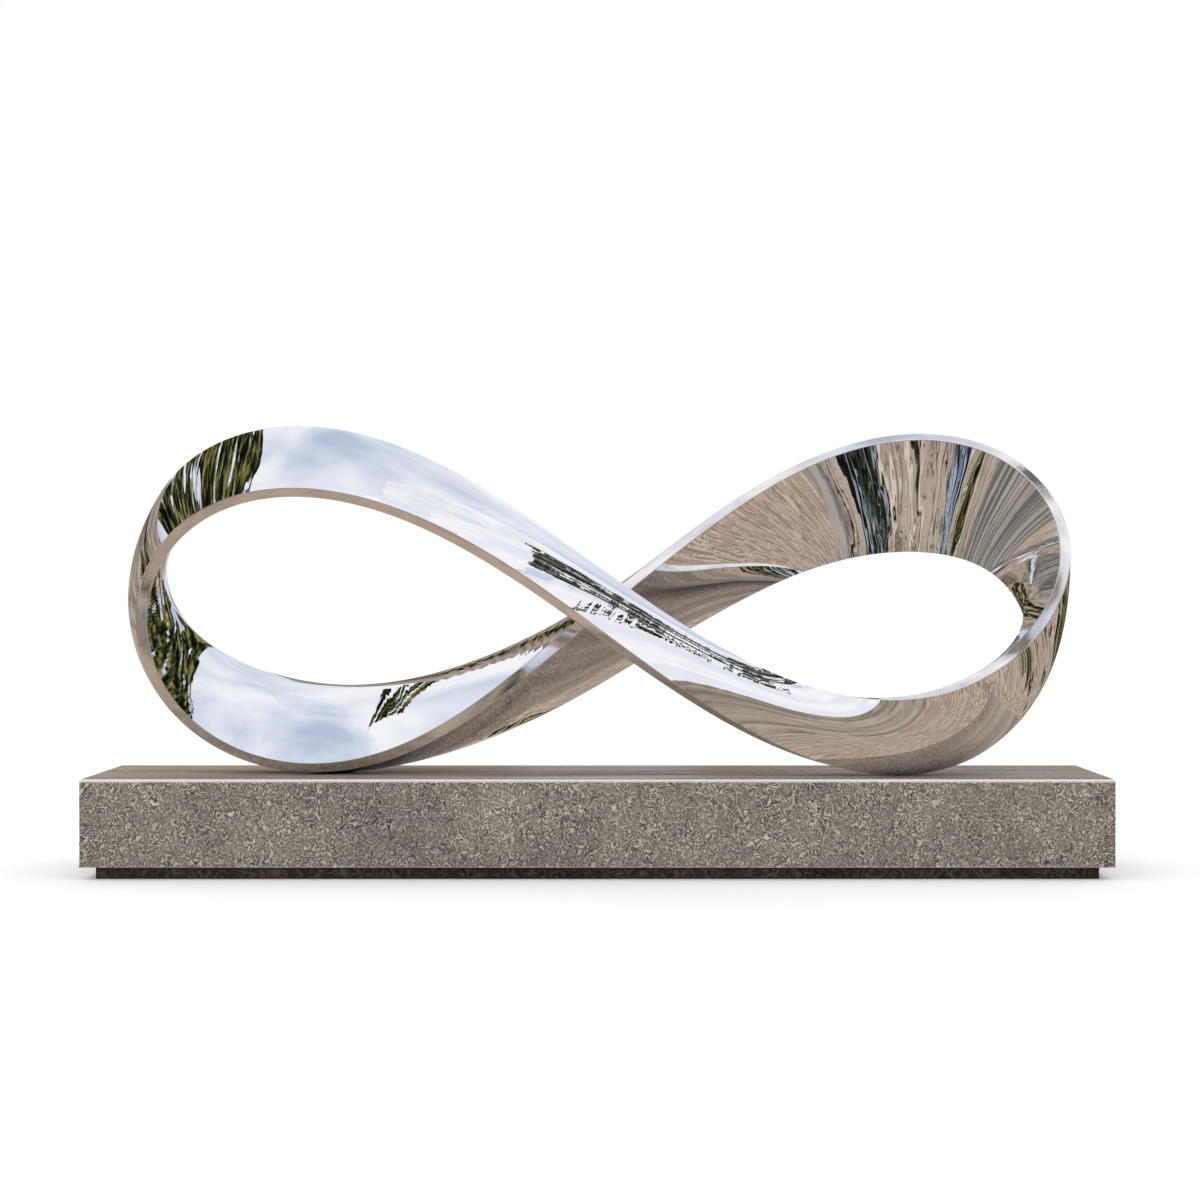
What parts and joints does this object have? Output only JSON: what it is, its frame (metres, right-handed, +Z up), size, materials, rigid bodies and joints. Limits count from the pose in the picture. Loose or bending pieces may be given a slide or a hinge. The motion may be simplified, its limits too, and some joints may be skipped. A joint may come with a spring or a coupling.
{
  "type": "metal knot sculpture",
  "caption": "Mirror-polished steel band in a lying figure of eight, with a half turn, resting on a long low stone plinth.",
  "frame": {"origin": "On the ground under the centre of the plinth and of the whole object.", "axes": "+X along the plinth to the viewer's right, +Y to the back, +Z up; the pictured front faces -Y."},
  "size_m": [3, 0.6296, 1.33],
  "materials": {
    "mirror_steel": "mirror polished stainless steel",
    "satin_edge": "bright satin edge, finely linished along the edge",
    "inner_steel": "mill finish",
    "plinth_stone": "rough tooled sides, honed top",
    "base_stone": "rough dark stone",
    "bedding": "matt rubber",
    "grout": "matt grout"
  },
  "bodies": {
    "root": {"plinth_block": "plinth_stone", "base_stone": "base_stone", "bedding_pads": "bedding", "dowels": "inner_steel", "spigots": "inner_steel", "spigot_sleeves": "inner_steel", "grout_plugs": "grout", "front_strand_front_sheet": "mirror_steel", "front_strand_back_sheet": "mirror_steel", "front_strand_edge_strips": "satin_edge", "front_strand_ribs": "inner_steel", "right_bottom_outer_sheet": "mirror_steel", "right_bottom_inner_sheet": "mirror_steel", "right_bottom_edge_strips": "satin_edge", "right_bottom_ribs": "inner_steel", "right_end_outer_sheet": "mirror_steel", "right_end_inner_sheet": "mirror_steel", "right_end_edge_strips": "satin_edge", "right_end_ribs": "inner_steel", "right_top_outer_sheet": "mirror_steel", "right_top_inner_sheet": "mirror_steel", "right_top_edge_strips": "satin_edge", "right_top_ribs": "inner_steel", "back_strand_back_sheet": "mirror_steel", "back_strand_front_sheet": "mirror_steel", "back_strand_edge_strips": "satin_edge", "back_strand_ribs": "inner_steel", "left_bottom_outer_sheet": "mirror_steel", "left_bottom_inner_sheet": "mirror_steel", "left_bottom_edge_strips": "satin_edge", "left_bottom_ribs": "inner_steel", "left_end_outer_sheet": "mirror_steel", "left_end_inner_sheet": "mirror_steel", "left_end_edge_strips": "satin_edge", "left_end_ribs": "inner_steel", "left_top_outer_sheet": "mirror_steel", "left_top_inner_sheet": "mirror_steel", "left_top_edge_strips": "satin_edge", "left_top_ribs": "inner_steel"}
  },
  "joints": []
}
